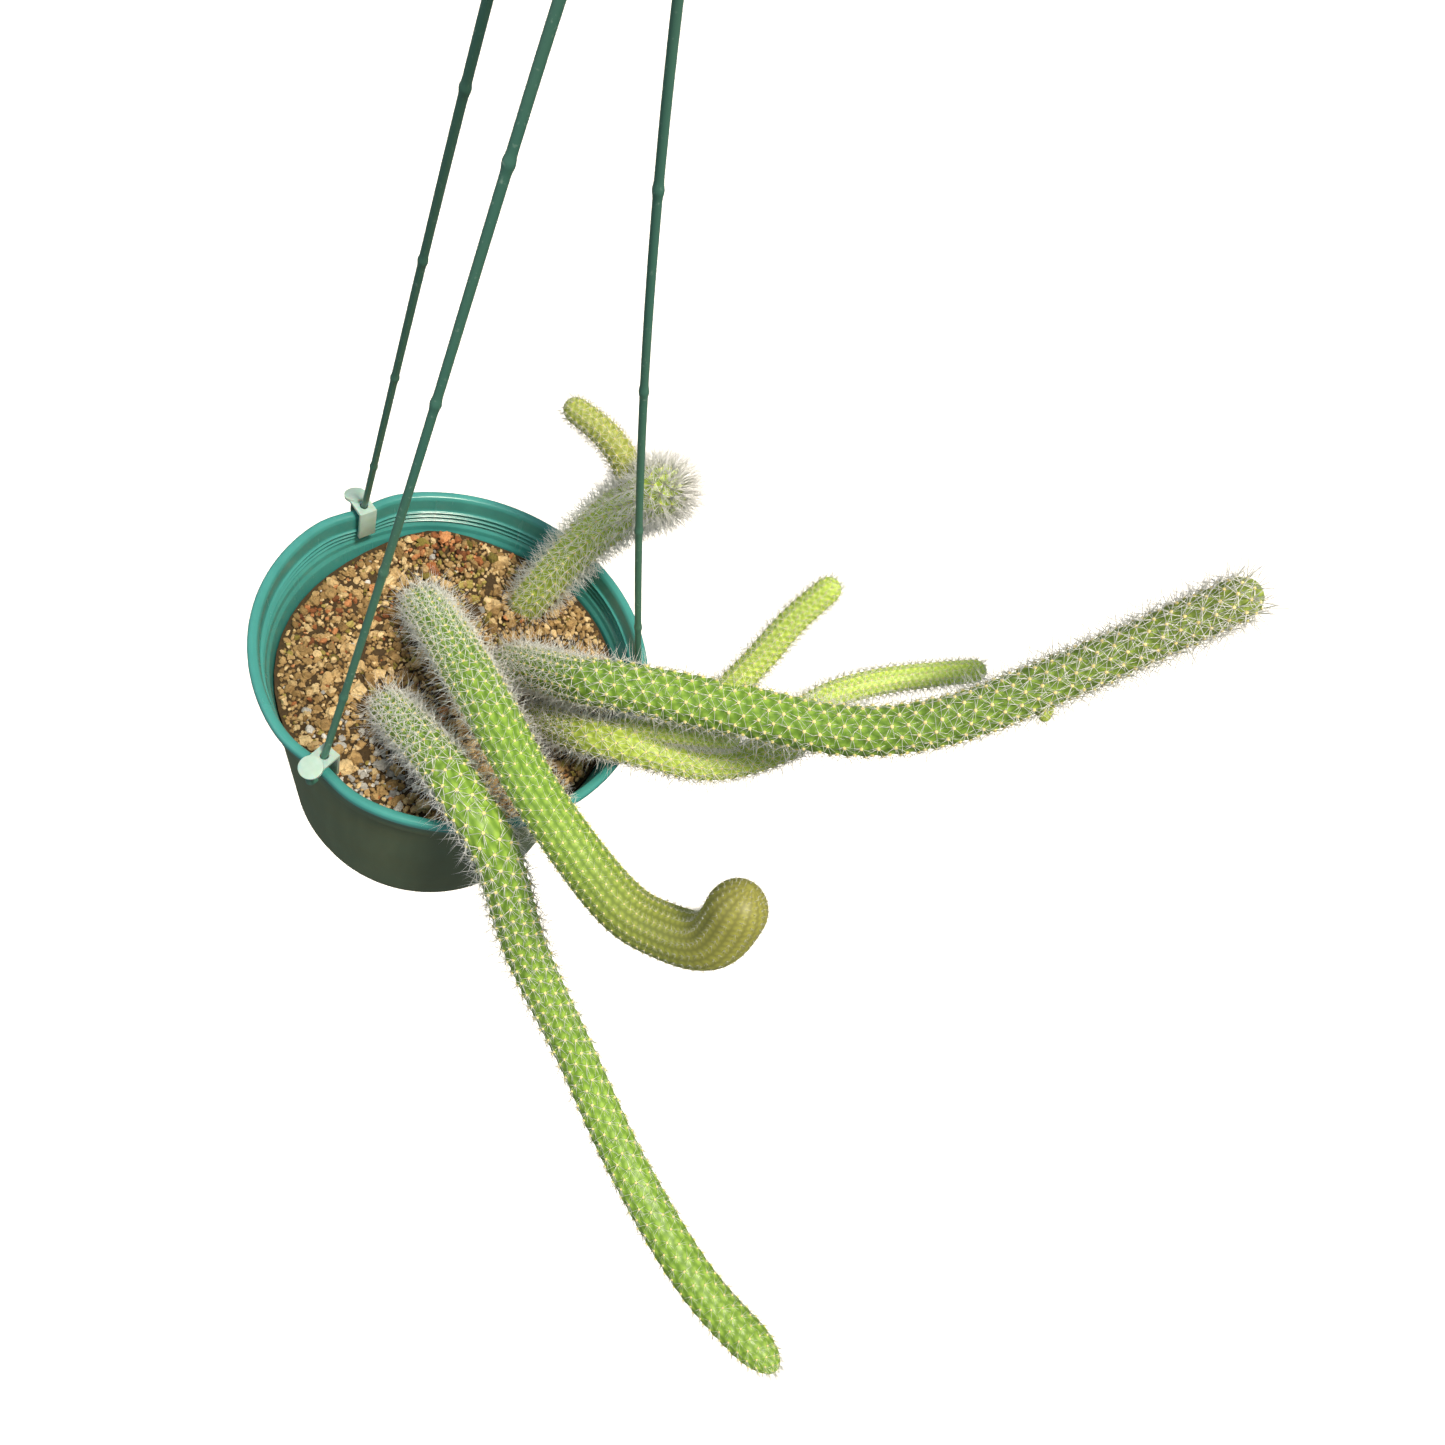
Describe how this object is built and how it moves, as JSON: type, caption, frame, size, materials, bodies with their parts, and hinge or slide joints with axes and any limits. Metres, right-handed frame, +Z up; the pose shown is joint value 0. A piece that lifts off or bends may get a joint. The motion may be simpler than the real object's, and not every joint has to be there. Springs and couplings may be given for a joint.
{
  "type": "monkey tail cactus in a hanging pot",
  "caption": "Monkey tail cactus with long hairy trailing stems growing over the rim of a round green plastic hanging pot with hanger rods and a top hook.",
  "frame": {"origin": "the point inside the top hook on which the whole pot hangs, on the pot's axis", "axes": "+Z up along the pot's axis; +X towards the side the long stems reach to; +Y away from the pictured side"},
  "size_m": [0.3504, 0.217, 0.511],
  "materials": {
    "pot_plastic": "moulded semi-gloss polypropylene, deep blue-green",
    "rod_plastic": "moulded plastic, dark teal green",
    "clip_plastic": "milky translucent mint polyethylene",
    "grit": "dry porous baked clay and pumice grains",
    "cactus_skin": "waxy green skin under white spines and hairs"
  },
  "bodies": {
    "root": {"pot": "pot_plastic", "soil": "grit", "stem_trailing": "cactus_skin", "stem_upturned": "cactus_skin", "stem_upright": "cactus_skin", "stem_reaching": "cactus_skin", "stem_tucked": "cactus_skin", "hanger_rod_1": "rod_plastic", "hanger_rod_2": "rod_plastic", "hanger_rod_3": "rod_plastic", "hanger_hook": "rod_plastic", "rim_clip_1": "clip_plastic", "rim_clip_2": "clip_plastic", "rim_clip_3": "clip_plastic"}
  },
  "joints": []
}
